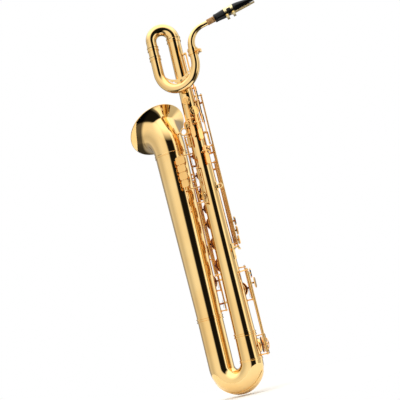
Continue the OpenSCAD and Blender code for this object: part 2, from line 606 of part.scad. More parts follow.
// A key that rocks across the tube: bar, hinge tube, cup at the far end and touch at the near end
module rocker(q, seat_up, touch_w) {
    x = body_r(q[QH]) + rock_level;
    cup_x = body_r(q[QZ]) + seat_up + pad_gap;
    tip = q[QR] > 0 ? q[QZ] + 2 : q[QZ];
    difference() {
        union() {
            translate([x - 1.5, -2.5, q[QE]]) cube([3, 5, tip - q[QE]]);
            translate([x, 0, q[QH]]) rotate([90, 0, 0])
                cylinder(h = 2 * (rock_half - 3.3), r = rock_tube, center = true);
            if (q[QR] > 0) outward(cup_x, 0, q[QZ]) {
                cup(q[QR]);
                cylinder(h = x - cup_x + 1, r = 2.4);
                translate([0, 0, 4]) cylinder(h = x - cup_x - 4, r = 2.4);
            }
            translate([x, -touch_w / 2, q[QE] - 10]) cube([3, touch_w, 22]);
            for (e = [-10, 12]) outward(x, 0, q[QE] + e) cylinder(h = 3, r = touch_w / 2);
        }
        translate([x, 0, q[QH]]) rotate([90, 0, 0])
            cylinder(h = 40, r = rock_rod + 0.06, center = true);
        if (q[QR] > 0) outward(cup_x - 1, 0, q[QZ]) cylinder(h = pad_h + 1.15, r = q[QR] - 1);
    }
}
module rocking_key(q, seat_up, touch_w) placed() around(0, q[QT]) {
    color(BRASS) rocker(q, seat_up, touch_w);
    if (q[QR] > 0) color(LEATHER) outward(body_r(q[QZ]) + seat_up + pad_gap, 0, q[QZ]) pad(q[QR]);
}
module palm_d_key() rocking_key(PALM_D, seat_rise, 12);
module palm_eb_key() rocking_key(PALM_EB, seat_rise, 12);
module palm_f_key() rocking_key(PALM_F, seat_rise, 12);
module lower_octave_key() rocking_key(LOW_OCT, pip_rise, 5.2);
module upper_octave_key() rocking_key(HIGH_OCT, pip_rise, 5.2);
module octave_lever() rocking_key(OCT_LEVER, 0, 13);
module low_a_lever() rocking_key(A_LEVER, 0, 12);

// The neck turns in the receiver; its curve lies in one upright plane
neck_steps = 20;
neck_top = 55;          // radius of the neck's bend
neck_run = 9;           // straight run at its start and end
function neck_plan(u) = let (a = min(max(u, 0), 1) * (90 - mouth_slope))
    [neck_top * (1 - cos(a)) + max(u - 1, 0) * cos(mouth_slope) * 100,
     neck_run + neck_top * sin(a) + max(u - 1, 0) * sin(mouth_slope) * 100];
function neck_at(p) = [loop_x1 + p[0] * cos(neck_turn), loop_y + p[0] * sin(neck_turn), socket_z + p[1]];
neck_end = neck_plan(1.72);
module neck_tube() placed() color(BRASS)
    pipe(concat([neck_at([0, 4.1])],
                [for (i = [0:neck_steps]) neck_at(neck_plan(i / neck_steps))],
                [neck_at(neck_end)]),
         [for (i = [0:neck_steps + 2]) 11.4 - 4.2 * i / (neck_steps + 2)],
         [sin(neck_turn), -cos(neck_turn), 0], 24,
         [[0, 0, 1], [cos(neck_turn) * cos(mouth_slope), sin(neck_turn) * cos(mouth_slope),
                      sin(mouth_slope)]]);
module neck_tenon() placed() color(BRASS) translate([loop_x1, loop_y, 0]) difference() {
    union() {
        translate([0, 0, 985]) cylinder(h = 19, r = socket_r - 0.05);
        translate([0, 0, socket_z + 0.3]) cylinder(h = 3.7, r = socket_r + 2);
    }
    translate([0, 0, 984]) cylinder(h = 30, r = socket_r - 1.3);
}
// Mouth frame: x runs from the shank's end to the tip
shank = neck_plan(1.422);
module mouth() placed() translate(neck_at(shank)) rotate([0, 0, neck_turn]) rotate([0, -mouth_slope, 0])
    rotate([0, 90, 0]) children();
cork_r = 8.9;
module neck_cork() mouth() color(CORK) translate([0, 0, -24]) difference() {
    cylinder(h = 52, r = cork_r);
    translate([0, 0, -1]) cylinder(h = 60, r = 7.95);
}

// The mouthpiece: turned body, bored shank, flat table below and sloping beak above
table_x = 10.4;
bore_len = 36;          // the shank slides over the cork, and room is left to push it on
module mouthpiece() mouth() color(BLACK) difference() {
    rotate_extrude() polygon([
        [cork_r + 0.05, 0], [11.6, 0], [12.4, 1.2], [12.4, 6], [12, 7], [13.6, 30], [14.3, 60],
        [14.3, 70], [13.6, 76], [5.2, mouth_len], [0, mouth_len], [0, bore_len], [cork_r + 0.05, bore_len]]);
    translate([0, 0, -1]) cylinder(h = 62, r = 6);
    translate([table_x, -20, 34]) cube([20, 40, 120]);
    translate([0, 0, 58]) rotate([0, 5, 0]) translate([0, -5.5, 0]) cube([30, 11, 66]);
    translate([-14.3, -20, 72]) rotate([0, 14.2, 0]) translate([-30, 0, 0]) cube([30, 40, 90]);
}
module reed() mouth() color("burlywood") translate([0, 0, 50]) difference() {
    intersection() {
        translate([table_x + 0.05, -8, 0]) cube([3.4, 16, mouth_len - 50.5]);
        translate([2.2, 0, 0]) cylinder(h = mouth_len, r = 11.6);
    }
    translate([table_x + 3.45, -10, 36]) rotate([0, -4.9, 0]) cube([8, 20, 60]);
}
// The ligature: two bands and a plate under the reed, pulled together by two screws
lig_r = 14.75;
module ligature() mouth() color(BRASS) {
    difference() {
        union() {
            for (z = [34, 54]) translate([0, 0, z]) cylinder(h = 8, r = lig_r + 1.2);
            for (s = [-1, 1]) rotate([0, 0, s * 60]) translate([-lig_r - 1.1, -3, 36]) cube([1.2, 6, 24]);
            for (z = [34, 54]) translate([lig_r - 1, -6, z]) cube([7, 12, 8]);
        }
        translate([0, 0, 30]) cylinder(h = 40, r = lig_r);
        translate([8, -1.2, 30]) cube([20, 2.4, 40]);
        for (z = [38, 58]) translate([lig_r + 3.4, 0, z]) rotate([90, 0, 0])
            cylinder(h = 30, r = 1.6, center = true);
    }
}
module ligature_screw(z) mouth() color(BRASS) translate([lig_r + 3.4, 0, z]) rotate([90, 0, 0]) {
    translate([0, 0, -7]) cylinder(h = 14.5, r = 1.55);
    translate([0, 0, 6.4]) cylinder(h = 2, r = 3);
    translate([0, 0, 8.4]) cylinder(h = 8, r = 4.2);
}
module ligature_screw_back() ligature_screw(38);
module ligature_screw_front() ligature_screw(58);

module neck_clamp_screw() placed() color(BRASS)
    translate([clamp_x, loop_y, clamp_z]) rotate([90, 0, 0]) {
        translate([0, 0, -8]) cylinder(h = 16, r = 2.05);
        translate([0, 0, 6]) cylinder(h = 2, r = 3.4);
        translate([0, 0, 8]) cylinder(h = 3, r = 5);
        translate([-6.5, -1.2, 8]) cube([13, 2.4, 9]);
    }

body_tube();
bow_sleeve();
bow();
bow_guard();
bell_tube();
bell_flare();
bell_rim();
top_bend();
pigtail_loop();
ferrules();
neck_receiver();
loop_brace();
bell_brace();
strap_ring();
thumb_rest();
thumb_hook();
key_posts();
hinge_rods();
key_guards();
needle_springs();
neck_tenon();
neck_tube();
neck_cork();
mouthpiece();
reed();
ligature();
ligature_screw_back();
ligature_screw_front();
neck_clamp_screw();
c_key();
b_key();
bis_key();
a_key();
g_key();
f_sharp_key();
f_key();
e_key();
d_key();
g_sharp_key();
side_bb_key();
side_c_key();
high_e_key();
eb_key();
low_c_key();
low_c_sharp_key();
low_b_key();
low_bb_key();
low_a_key();
g_sharp_lever();
low_c_sharp_lever();
low_b_lever();
low_bb_lever();
palm_d_key();
palm_eb_key();
palm_f_key();
octave_lever();
lower_octave_key();
upper_octave_key();
low_a_lever();
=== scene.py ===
import math
import bmesh
import bpy
from mathutils import Matrix, Vector


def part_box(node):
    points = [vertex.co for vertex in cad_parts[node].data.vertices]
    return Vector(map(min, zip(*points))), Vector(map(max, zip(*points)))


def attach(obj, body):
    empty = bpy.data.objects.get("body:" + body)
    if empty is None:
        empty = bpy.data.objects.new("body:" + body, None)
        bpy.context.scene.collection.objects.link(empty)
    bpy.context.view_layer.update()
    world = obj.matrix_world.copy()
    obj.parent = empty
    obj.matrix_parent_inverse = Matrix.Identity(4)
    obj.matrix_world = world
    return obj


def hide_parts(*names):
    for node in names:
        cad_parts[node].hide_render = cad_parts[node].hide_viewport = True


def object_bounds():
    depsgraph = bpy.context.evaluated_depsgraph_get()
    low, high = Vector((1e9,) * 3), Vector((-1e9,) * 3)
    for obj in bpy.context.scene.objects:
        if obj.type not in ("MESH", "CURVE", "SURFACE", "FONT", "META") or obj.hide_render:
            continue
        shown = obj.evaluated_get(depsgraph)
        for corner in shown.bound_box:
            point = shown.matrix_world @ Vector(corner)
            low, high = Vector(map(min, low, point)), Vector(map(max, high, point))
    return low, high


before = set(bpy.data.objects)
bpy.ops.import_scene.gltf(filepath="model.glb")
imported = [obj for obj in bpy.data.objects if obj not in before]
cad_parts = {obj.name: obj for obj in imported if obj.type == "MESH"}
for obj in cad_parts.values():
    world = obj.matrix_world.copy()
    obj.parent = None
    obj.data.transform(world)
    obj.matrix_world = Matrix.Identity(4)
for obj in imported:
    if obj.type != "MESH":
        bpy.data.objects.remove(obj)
cad_low, cad_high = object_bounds()


# ---------------------------------------------------------------------------------------------
# Body tube. A long brass cone, drawn on a mandrel, drilled for its tone holes and lacquered.
# Each hole has a short rim soldered on. It is measured in millimetres from the bow's lowest
# point, on the tube's own axis, which stands 37 mm in front of the strap ring's hole.
MM = 0.001
BASE_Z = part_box("bow")[0].z
STRAP_OUT = 37.0
WALL = 1.2
BODY_LOW = 162.0
BODY_TOP = (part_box("body_tube")[1].z - BASE_Z) / MM
BODY_R = 30.5
BODY_TAPER = 0.01235
SLEEVE_TAPER = 0.025
GOLD = (0.94, 0.655, 0.285, 1)
GOLD_DEEP = (0.9, 0.58, 0.22, 1)


def horn(x, y, z):
    """A point given in millimetres from the foot of the body tube's axis, in the row frame."""
    return Vector(((x - STRAP_OUT) * MM, y * MM, BASE_Z + z * MM))


def body_radius(z):
    if z > BODY_LOW:
        return BODY_R - BODY_TAPER * (z - BODY_LOW)
    return BODY_R + SLEEVE_TAPER * (BODY_LOW - z)


def node(tree, kind, **settings):
    """A new node with its named inputs set; inputs that hold a socket are linked to it."""
    made = tree.nodes.new(kind)
    inputs = settings.pop("inputs", {})
    for name, value in settings.items():
        setattr(made, name, value)
    for name, value in inputs.items():
        if isinstance(value, bpy.types.NodeSocket):
            tree.links.new(value, made.inputs[name])
        else:
            made.inputs[name].default_value = value
    return made


def lacquer_group():
    """Clear lacquer over polished metal: cloudy tone, handling marks and a faint ripple."""
    group = bpy.data.node_groups.new("handled_lacquer", "ShaderNodeTree")
    face = group.interface
    face.new_socket("Metal", in_out="INPUT", socket_type="NodeSocketColor")
    face.new_socket("Deep", in_out="INPUT", socket_type="NodeSocketColor")
    face.new_socket("Polish", in_out="INPUT", socket_type="NodeSocketFloat")
    face.new_socket("Marks", in_out="INPUT", socket_type="NodeSocketFloat")
    face.new_socket("Color", in_out="OUTPUT", socket_type="NodeSocketColor")
    face.new_socket("Roughness", in_out="OUTPUT", socket_type="NodeSocketFloat")
    face.new_socket("Height", in_out="OUTPUT", socket_type="NodeSocketFloat")
    given = group.nodes.new("NodeGroupInput")
    out = group.nodes.new("NodeGroupOutput")
    place = node(group, "ShaderNodeTexCoord").outputs["Object"]
    cloud = node(group, "ShaderNodeTexNoise", inputs={
        "Vector": place, "Scale": 9.0, "Detail": 3.0, "Roughness": 0.55})
    prints = node(group, "ShaderNodeTexNoise", inputs={
        "Vector": place, "Scale": 55.0, "Detail": 4.0, "Roughness": 0.6})
    swirl = node(group, "ShaderNodeTexNoise", inputs={
        "Vector": place, "Scale": 420.0, "Detail": 2.0, "Roughness": 0.5})
    tone = node(group, "ShaderNodeMapRange", inputs={
        "Value": cloud.outputs["Fac"], "From Min": 0.35, "From Max": 0.7})
    color = node(group, "ShaderNodeMix", data_type="RGBA")
    group.links.new(tone.outputs["Result"], color.inputs["Factor"])
    group.links.new(given.outputs["Metal"], color.inputs[6])
    group.links.new(given.outputs["Deep"], color.inputs[7])
    smear = node(group, "ShaderNodeMapRange", inputs={
        "Value": prints.outputs["Fac"], "From Min": 0.5, "From Max": 0.75})
    marked = node(group, "ShaderNodeMath", operation="MULTIPLY", inputs={
        0: smear.outputs["Result"], 1: given.outputs["Marks"]})
    rough = node(group, "ShaderNodeMath", operation="ADD", inputs={
        0: marked.outputs["Value"], 1: given.outputs["Polish"]})
    fine = node(group, "ShaderNodeMath", operation="MULTIPLY", inputs={
        0: swirl.outputs["Fac"], 1: 0.25})
    height = node(group, "ShaderNodeMath", operation="ADD", inputs={
        0: cloud.outputs["Fac"], 1: fine.outputs["Value"]})
    group.links.new(color.outputs[2], out.inputs["Color"])
    group.links.new(rough.outputs["Value"], out.inputs["Roughness"])
    group.links.new(height.outputs["Value"], out.inputs["Height"])
    return group


HANDLED = lacquer_group()


def lacquered(name, metal, deep, polish, marks, ripple):
    """Metal under clear lacquer. Ripple is the bump's depth in metres."""
    material = bpy.data.materials.new(name)
    material.use_nodes = True
    tree = material.node_tree
    shader = tree.nodes["Principled BSDF"]
    worn = node(tree, "ShaderNodeGroup", node_tree=HANDLED, inputs={
        "Metal": metal, "Deep": deep, "Polish": polish, "Marks": marks})
    bump = node(tree, "ShaderNodeBump", inputs={
        "Height": worn.outputs["Height"], "Strength": 0.35, "Distance": ripple})
    tree.links.new(worn.outputs["Color"], shader.inputs["Base Color"])
    tree.links.new(worn.outputs["Roughness"], shader.inputs["Roughness"])
    tree.links.new(bump.outputs["Normal"], shader.inputs["Normal"])
    shader.inputs["Metallic"].default_value = 1.0
    shader.inputs["Coat Weight"].default_value = 0.35
    shader.inputs["Coat Roughness"].default_value = 0.03
    return material


body_gold = lacquered("body_gold", GOLD, GOLD_DEEP, 0.03, 0.04, 0.00012)


def piece(name, verts, faces, material, slot="body_brass", body="horn"):
    """A smooth mesh piece that rides on a body and takes the given material. Its slot is not used."""
    mesh = bpy.data.meshes.new(name)
    mesh.from_pydata(verts, [], faces)
    mesh.polygons.foreach_set("use_smooth", [True] * len(mesh.polygons))
    mesh.materials.append(material)
    mesh.update()
    made = bpy.data.objects.new(name, mesh)
    bpy.context.scene.collection.objects.link(made)
    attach(made, body)
    return made


def sharp_ends(made, degrees=40):
    """Keeps the edges steeper than that sharp, so that ends and rims stay crisp."""
    made.data.set_sharp_from_angle(angle=math.radians(degrees))


def swept(path, radii, plane, wall=WALL, sides=128):
    """Verts and faces of an open-ended tube along points that lie in the plane with that normal."""
    verts = []
    faces = []
    last = len(path) - 1
    for skin in (0, wall):
        for i, centre in enumerate(path):
            along = (path[min(i + 1, last)] - path[max(i - 1, 0)]).normalized()
            side = plane.cross(along).normalized()
            for k in range(sides):
                a = math.tau * k / sides
                verts.append(centre + (radii[i] - skin) * MM * (math.cos(a) * side + math.sin(a) * plane))
    inner = (last + 1) * sides
    end = last * sides
    for k in range(sides):
        j = (k + 1) % sides
        for i in range(last):
            a, b = i * sides, (i + 1) * sides
            faces.append((a + k, a + j, b + j, b + k))
            faces.append((inner + a + k, inner + b + k, inner + b + j, inner + a + j))
        faces.append((k, inner + k, inner + j, j))
        faces.append((end + k, end + j, inner + end + j, inner + end + k))
    return verts, faces


def turned(profile, foot, axis, start, sides=64):
    """Verts and faces of a closed turned solid: profile is (radius, height) pairs round an axis."""
    along = axis.normalized()
    side = start.normalized()
    other = along.cross(side)
    verts = []
    for r, h in profile:
        for k in range(sides):
            a = math.tau * k / sides
            verts.append(foot + MM * (r * (math.cos(a) * side + math.sin(a) * other) + h * along))
    faces = []
    count = len(profile)
    for i in range(count):
        n = (i + 1) % count
        for k in range(sides):
            j = (k + 1) % sides
            faces.append((i * sides + k, i * sides + j, n * sides + j, n * sides + k))
    return verts, faces


# The keys' tone holes on this tube: height, angle round it and cup radius
BODY_HOLES = [
    (745, 150, 11), (708, 150, 13), (678, 150, 9), (648, 150, 15), (600, 150, 16), (545, 150, 17),
    (500, 150, 19), (440, 150, 20), (375, 150, 22), (580, 235, 13), (655, 95, 12), (705, 95, 12.5),
    (858, 80, 13), (290, 75, 21), (795, 248, 12.5), (831, 320, 14.5), (866, 285, 12.5),
]
HOLE_INSET = 3
CUTTER_LEN = 0.08
FACES_OUT = 0.9
RIM_RISE = 3.0
RIM_SIDES = 72
RIM_SUNK = 0.9
# Across a rim, from its outside to its inside: how far inside the cup's edge and below the flat top.
# A drop of RIM_FOOT stands for the foot, which follows the tube instead.
RIM_FOOT = 1
RIM_PROFILE = [(2.3, RIM_FOOT), (2.3, 0.25), (2.55, 0), (3.2, 0), (3.45, 0.25), (3.45, RIM_FOOT)]


def drilled(made, holes, axis_x):
    """Cuts the tone holes and makes the normals of the tube's inside and outside point straight out."""
    cutters = bmesh.new()
    for z, angle, cup in holes:
        out = Vector((math.cos(math.radians(angle)), math.sin(math.radians(angle)), 0))
        middle = horn(axis_x, 0, z) + out * CUTTER_LEN / 2
        turn = out.to_track_quat("Z", "Y").to_matrix().to_4x4()
        bmesh.ops.create_cone(cutters, cap_ends=True, segments=64, radius1=(cup - HOLE_INSET) * MM,
                              radius2=(cup - HOLE_INSET) * MM, depth=CUTTER_LEN,
                              matrix=Matrix.Translation(middle) @ turn)
    mesh = bpy.data.meshes.new("cutters")
    cutters.to_mesh(mesh)
    cutters.free()
    tool = bpy.data.objects.new("cutters", mesh)
    bpy.context.scene.collection.objects.link(tool)
    cut = made.modifiers.new("tone_holes", "BOOLEAN")
    cut.object = tool
    cut.solver = "EXACT"
    bpy.context.view_layer.update()
    done = bpy.data.meshes.new_from_object(made.evaluated_get(bpy.context.evaluated_depsgraph_get()))
    made.modifiers.clear()
    made.data = done
    bpy.data.objects.remove(tool)
    centre = horn(axis_x, 0, 0)
    normals = []
    for face in done.polygons:
        for v in face.vertices:
            spot = done.vertices[v].co
            out = Vector((spot.x - centre.x, spot.y, 0)).normalized()
            lean = out.dot(face.normal)
            normals.append(out if lean > FACES_OUT else -out if lean < -FACES_OUT else face.normal)
    done.polygons.foreach_set("use_smooth", [True] * len(done.polygons))
    done.normals_split_custom_set(normals)


def rim_mesh(z, angle, cup, axis_x, radius_at):
    """Verts and faces of one tone hole rim: a short tube that follows the body below, flat on top."""
    out = Vector((math.cos(math.radians(angle)), math.sin(math.radians(angle)), 0))
    side = Vector((0, 0, 1)).cross(out)
    sides = RIM_SIDES
    last = len(RIM_PROFILE) - 1
    top = radius_at(z) + RIM_RISE
    verts = []
    for inset, drop in RIM_PROFILE:
        r = cup - inset
        for k in range(sides):
            a = math.tau * k / sides
            y, h = r * math.sin(a), r * math.cos(a)
            foot = math.sqrt(max(radius_at(z) ** 2 - y * y, 1)) - RIM_SUNK
            x = foot if drop == RIM_FOOT else top - drop
            verts.append(horn(axis_x, 0, z + h) + MM * (x * out + y * side))
    faces = [(i * sides + k, i * sides + (k + 1) % sides, (i + 1) * sides + (k + 1) % sides,
              (i + 1) * sides + k) for i in range(last) for k in range(sides)]
    faces += [(last * sides + k, last * sides + (k + 1) % sides, (k + 1) % sides, k) for k in range(sides)]
    return verts, faces


def joined(parts):
    """Several lists of verts and faces as one."""
    verts = []
    faces = []
    for v, f in parts:
        base = len(verts)
        verts += v
        faces += [tuple(i + base for i in face) for face in f]
    return verts, faces


UP = Vector((0, 0, 1))
SIDEWAYS = Vector((0, 1, 0))
steps = [BODY_LOW + (BODY_TOP - BODY_LOW) * i / 60 for i in range(61)]
body_tube = piece("body_tube_skin", *swept([horn(0, 0, z) for z in steps],
                                           [body_radius(z) for z in steps], SIDEWAYS), body_gold)
drilled(body_tube, BODY_HOLES, 0)
body_rims = piece("body_hole_rims", *joined([rim_mesh(*h, 0, body_radius) for h in BODY_HOLES]), body_gold)
sharp_ends(body_rims, 50)
PIPS = [(905, 26), (1010, 0)]
pip_parts = []
for z, angle in PIPS:
    out = Vector((math.cos(math.radians(angle)), math.sin(math.radians(angle)), 0))
    r = body_radius(z)
    pip_parts.append(turned([(1.3, r - 1), (1.3, r + 5), (2.4, r + 5), (2.8, r + 4.4), (2.8, r - 1)],
                            horn(0, 0, z), out, UP, 40))
octave_pips = piece("octave_pips", *joined(pip_parts), body_gold)
sharp_ends(octave_pips)
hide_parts("body_tube")


# ---------------------------------------------------------------------------------------------
# Bow sleeve. The straight brass sleeve under the body tube, with the lowest tone hole of the
# body line drilled through its back. It slips over the bow and is soldered.
BOW_TURN = 86.0
SLEEVE_HOLE = (123, 45, 23)
steps = [BOW_TURN + (BODY_LOW - BOW_TURN) * i / 8 for i in range(9)]
bow_sleeve = piece("bow_sleeve_skin", *swept([horn(0, 0, z) for z in steps],
                                             [body_radius(z) for z in steps], SIDEWAYS), body_gold)
drilled(bow_sleeve, [SLEEVE_HOLE], 0)
sleeve_rim = piece("sleeve_hole_rim", *rim_mesh(*SLEEVE_HOLE, 0, body_radius), body_gold)
sharp_ends(sleeve_rim, 50)
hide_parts("bow_sleeve")


# ---------------------------------------------------------------------------------------------
# Bow. Half a turn of brass tube, bent and hammered smooth, that widens from the body line to
# the bell. Its last straight leg runs up to the bell's ferrule.
LEG_GAP = 100.0
BOW_R = 36.0
BELL_LOW = 230.0
BELL_R = 37.5
BOW_STEPS = 96
LEG_STEPS = 12
BELL_STEP = 0.4


def bow_radius(t):
    """Radius at a share t of the half turn."""
    turn = min(180 * t, 90)
    start = body_radius(BOW_TURN)
    r = start + (BOW_R - start) * math.sin(math.radians(turn))
    return r + max(0, 2 * t - 1) * (BELL_R - BELL_STEP - BOW_R)


def bow_point(t):
    a = math.pi * t
    return horn(-LEG_GAP / 2 * (1 - math.cos(a)), 0, BOW_TURN - LEG_GAP / 2 * math.sin(a))


path = [bow_point(i / BOW_STEPS) for i in range(BOW_STEPS + 1)]
radii = [bow_radius(i / BOW_STEPS) for i in range(BOW_STEPS + 1)]
for i in range(1, LEG_STEPS + 1):
    path.append(horn(-LEG_GAP, 0, BOW_TURN + (BELL_LOW - BOW_TURN) * i / LEG_STEPS))
    radii.append(BELL_R - BELL_STEP + BELL_STEP * i / LEG_STEPS)
bow = piece("bow_skin", *swept(path, radii, SIDEWAYS, sides=144), body_gold)
sharp_ends(bow)
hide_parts("bow")


# ---------------------------------------------------------------------------------------------
# Bow guard. A crescent of sheet brass soldered under the turn, where the horn gets knocked.
# Its edge is rounded over.
GUARD_START = 22.0
GUARD_SWEEP = 136.0
GUARD_ALONG = 120
GUARD_ACROSS = 40
GUARD_TIP = 4
GUARD_SPREAD = 34
GUARD_TOP = 1.5
GUARD_UNDER = 0.25
GUARD_ROUND = 0.5
GUARD_EDGE = 0.03


def guard_spot(u, v, lift):
    """u runs along the crescent and v across it, both from 0 to 1."""
    a = math.radians(GUARD_START + GUARD_SWEEP * u)
    half = GUARD_TIP + GUARD_SPREAD * max(math.sin(math.pi * u), 0) ** 0.6
    w = math.radians(half * (2 * v - 1))
    out = Vector((math.cos(a), 0, -math.sin(a)))
    r = (bow_radius(math.degrees(a) / 180) + lift) * MM
    return bow_point(a / math.pi) + r * (math.cos(w) * out + math.sin(w) * SIDEWAYS)


def guard_mesh():
    verts = []
    faces = []
    across = GUARD_ACROSS + 1
    for lift in (GUARD_TOP, GUARD_UNDER):
        for i in range(GUARD_ALONG + 1):
            for j in range(across):
                u, v = i / GUARD_ALONG, j / GUARD_ACROSS
                edge = min(v, 1 - v, u * 4, (1 - u) * 4)
                sunk = GUARD_ROUND * max(0, 1 - edge / GUARD_EDGE) ** 2 if lift == GUARD_TOP else 0
                verts.append(guard_spot(u, v, lift - sunk))
    under = (GUARD_ALONG + 1) * across
    for i in range(GUARD_ALONG):
        for j in range(GUARD_ACROSS):
            a, b = i * across + j, (i + 1) * across + j
            faces.append((a, a + 1, b + 1, b))
            faces.append((under + a, under + b, under + b + 1, under + a + 1))
        a, b = i * across, (i + 1) * across
        faces.append((a, b, under + b, under + a))
        a, b = a + GUARD_ACROSS, b + GUARD_ACROSS
        faces.append((a, under + a, under + b, b))
    for j in range(GUARD_ACROSS):
        faces.append((j, under + j, under + j + 1, j + 1))
        a = GUARD_ALONG * across + j
        faces.append((a, a + 1, under + a + 1, under + a))
    return verts, faces


bow_guard = piece("bow_guard_plate", *guard_mesh(), body_gold)
sharp_ends(bow_guard, 50)
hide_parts("bow_guard")


# ---------------------------------------------------------------------------------------------
# Bell tube. A wide brass cone in front of the body tube, drawn and seamed like it, with four
# large tone holes on the player's right. Its foot is soldered into the bow's ferrule.
BELL_TOP = 735.0
BELL_R_TOP = 47.6
BELL_HOLES = [(266, 95, 22), (335, 95, 26), (430, 95, 27), (560, 95, 28)]


def bell_radius(z):
    return BELL_R + (BELL_R_TOP - BELL_R) * (z - BELL_LOW) / (BELL_TOP - BELL_LOW)


steps = [BELL_LOW + (BELL_TOP - BELL_LOW) * i / 40 for i in range(41)]
bell_tube = piece("bell_tube_skin", *swept([horn(-LEG_GAP, 0, z) for z in steps],
                                           [bell_radius(z) for z in steps], SIDEWAYS), body_gold)
drilled(bell_tube, BELL_HOLES, -LEG_GAP)
bell_rims = piece("bell_hole_rims", *joined([rim_mesh(*h, -LEG_GAP, bell_radius) for h in BELL_HOLES]),
                  body_gold)
sharp_ends(bell_rims, 50)
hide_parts("bell_tube")


# ---------------------------------------------------------------------------------------------
# Bell flare and rim. The mouth leans forward, turned towards the player's right, and is spun
# out thin; its edge is rolled over a wire, which makes the round bead.
LEAN = math.radians(40)
FLARE_BEND = 110.0
FLARE_RUN = 25.0
FLARE_LEN = FLARE_BEND * LEAN + FLARE_RUN
RIM_R = 90.0
MOUTH_TURN = math.radians(30)
mouth_way = Vector((-math.cos(MOUTH_TURN), math.sin(MOUTH_TURN), 0))
mouth_side = UP.cross(mouth_way)
FLARE_STEPS = 72
FLARE_SIDES = 192
BEAD_R = 1.8
BEAD_IN = 0.6
BEAD_UP = 1.9
BEAD_SIDES = 20


def flare_point(s):
    a = min(s, FLARE_BEND * LEAN) / FLARE_BEND
    d = max(s - FLARE_BEND * LEAN, 0)
    out = FLARE_BEND * (1 - math.cos(a)) + d * math.sin(a)
    rise = FLARE_BEND * math.sin(a) + d * math.cos(a)
    return horn(-LEG_GAP, 0, BELL_TOP + rise) + out * MM * mouth_way


def flare_radius(s):
    t = s / FLARE_LEN
    return BELL_R_TOP + (RIM_R - BELL_R_TOP) * (0.18 * t + 0.27 * t ** 3 + 0.55 * t ** 7)


steps = [FLARE_LEN * (1 - (1 - i / FLARE_STEPS) ** 1.3) for i in range(FLARE_STEPS + 1)]
bell_flare = piece("bell_flare_skin", *swept([flare_point(s) for s in steps],
                                             [flare_radius(s) for s in steps], mouth_side, sides=FLARE_SIDES),
                   body_gold)
sharp_ends(bell_flare)
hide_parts("bell_flare")
mouth_axis = math.sin(LEAN) * mouth_way + math.cos(LEAN) * UP
bead = [(RIM_R - BEAD_IN + BEAD_R * math.cos(math.tau * k / BEAD_SIDES),
         BEAD_UP + BEAD_R * math.sin(math.tau * k / BEAD_SIDES)) for k in range(BEAD_SIDES)]
bell_rim = piece("bell_rim_bead",
                 *turned(bead, flare_point(FLARE_LEN), mouth_axis, mouth_side, FLARE_SIDES), body_gold)
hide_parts("bell_rim")


# ---------------------------------------------------------------------------------------------
# Top bend and pigtail loop. The body line turns over at the top, runs down, round a large loop
# and up to the neck. Both are bent from drawn tube and narrow all the way.
LOOP_Y = -37.0
LOOP_X0 = -55.3
LOOP_X1 = 73.1
LOOP_LOW = 970.0
LOOP_R0 = 15.8
LOOP_R1 = 12.3
LOOP_END = 984.0
BEND_STEPS = 64
top_span = math.hypot(LOOP_X0, LOOP_Y)
top_way = Vector((LOOP_X0, LOOP_Y, 0)) / top_span
path = []
for i in range(BEND_STEPS + 1):
    a = math.pi * i / BEND_STEPS
    path.append(horn(0, 0, BODY_TOP) + MM * top_span / 2 * ((1 - math.cos(a)) * top_way + math.sin(a) * UP))
radii = [body_radius(BODY_TOP) + (LOOP_R0 - body_radius(BODY_TOP)) * i / BEND_STEPS
         for i in range(BEND_STEPS + 1)]
top_bend = piece("top_bend_skin", *swept(path, radii, top_way.cross(-UP), sides=96), body_gold)
sharp_ends(top_bend)
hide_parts("top_bend")

loop_turn = (LOOP_X1 - LOOP_X0) / 2
path = [horn(LOOP_X0, LOOP_Y, BODY_TOP + (LOOP_LOW - BODY_TOP) * i / 12) for i in range(12)]
for i in range(BEND_STEPS + 1):
    a = math.pi * i / BEND_STEPS
    path.append(horn(LOOP_X0 + loop_turn * (1 - math.cos(a)), LOOP_Y, LOOP_LOW - loop_turn * math.sin(a)))
path.append(horn(LOOP_X1, LOOP_Y, LOOP_END))


def loop_radius(i):
    """Narrows along the round part and keeps its width along the straight legs, as drawn."""
    t = min(max((i - 12) / BEND_STEPS, 0), 1)
    return LOOP_R0 + (LOOP_R1 - LOOP_R0) * (1 + 20 * t) / 22 if i > 0 else LOOP_R0


pigtail = piece("pigtail_loop_skin", *swept(path, [loop_radius(i) for i in range(len(path))],
                                            -SIDEWAYS, sides=96), body_gold)
sharp_ends(pigtail)
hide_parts("pigtail_loop")


# ---------------------------------------------------------------------------------------------
# Turned and milled fittings that stay as the workshop made them: ferrules, receiver, braces,
# strap ring, thumb hook, posts and guards. Their edges are broken a little and lacquered.
key_gold = lacquered("key_gold", (0.94, 0.58, 0.21, 1), (0.85, 0.46, 0.13, 1), 0.05, 0.08, 0.0001)


def dressed(name, materials, bevel=0.25):
    """A CAD node with its finish, smooth skin and slightly broken edges."""
    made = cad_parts[name]
    made.data.materials.clear()
    for material in materials:
        made.data.materials.append(material)
    made.data.polygons.foreach_set("use_smooth", [True] * len(made.data.polygons))
    if bevel:
        edge = made.modifiers.new("broken_edges", "BEVEL")
        edge.width = bevel * MM
        edge.segments = 2
        edge.limit_method = "ANGLE"
        edge.angle_limit = math.radians(35)
        edge.harden_normals = True
    return made


FITTINGS = ["ferrules", "neck_receiver", "loop_brace", "bell_brace", "strap_ring", "thumb_hook"]
for name in FITTINGS:
    dressed(name, [body_gold])
dressed("key_posts", [key_gold], 0)


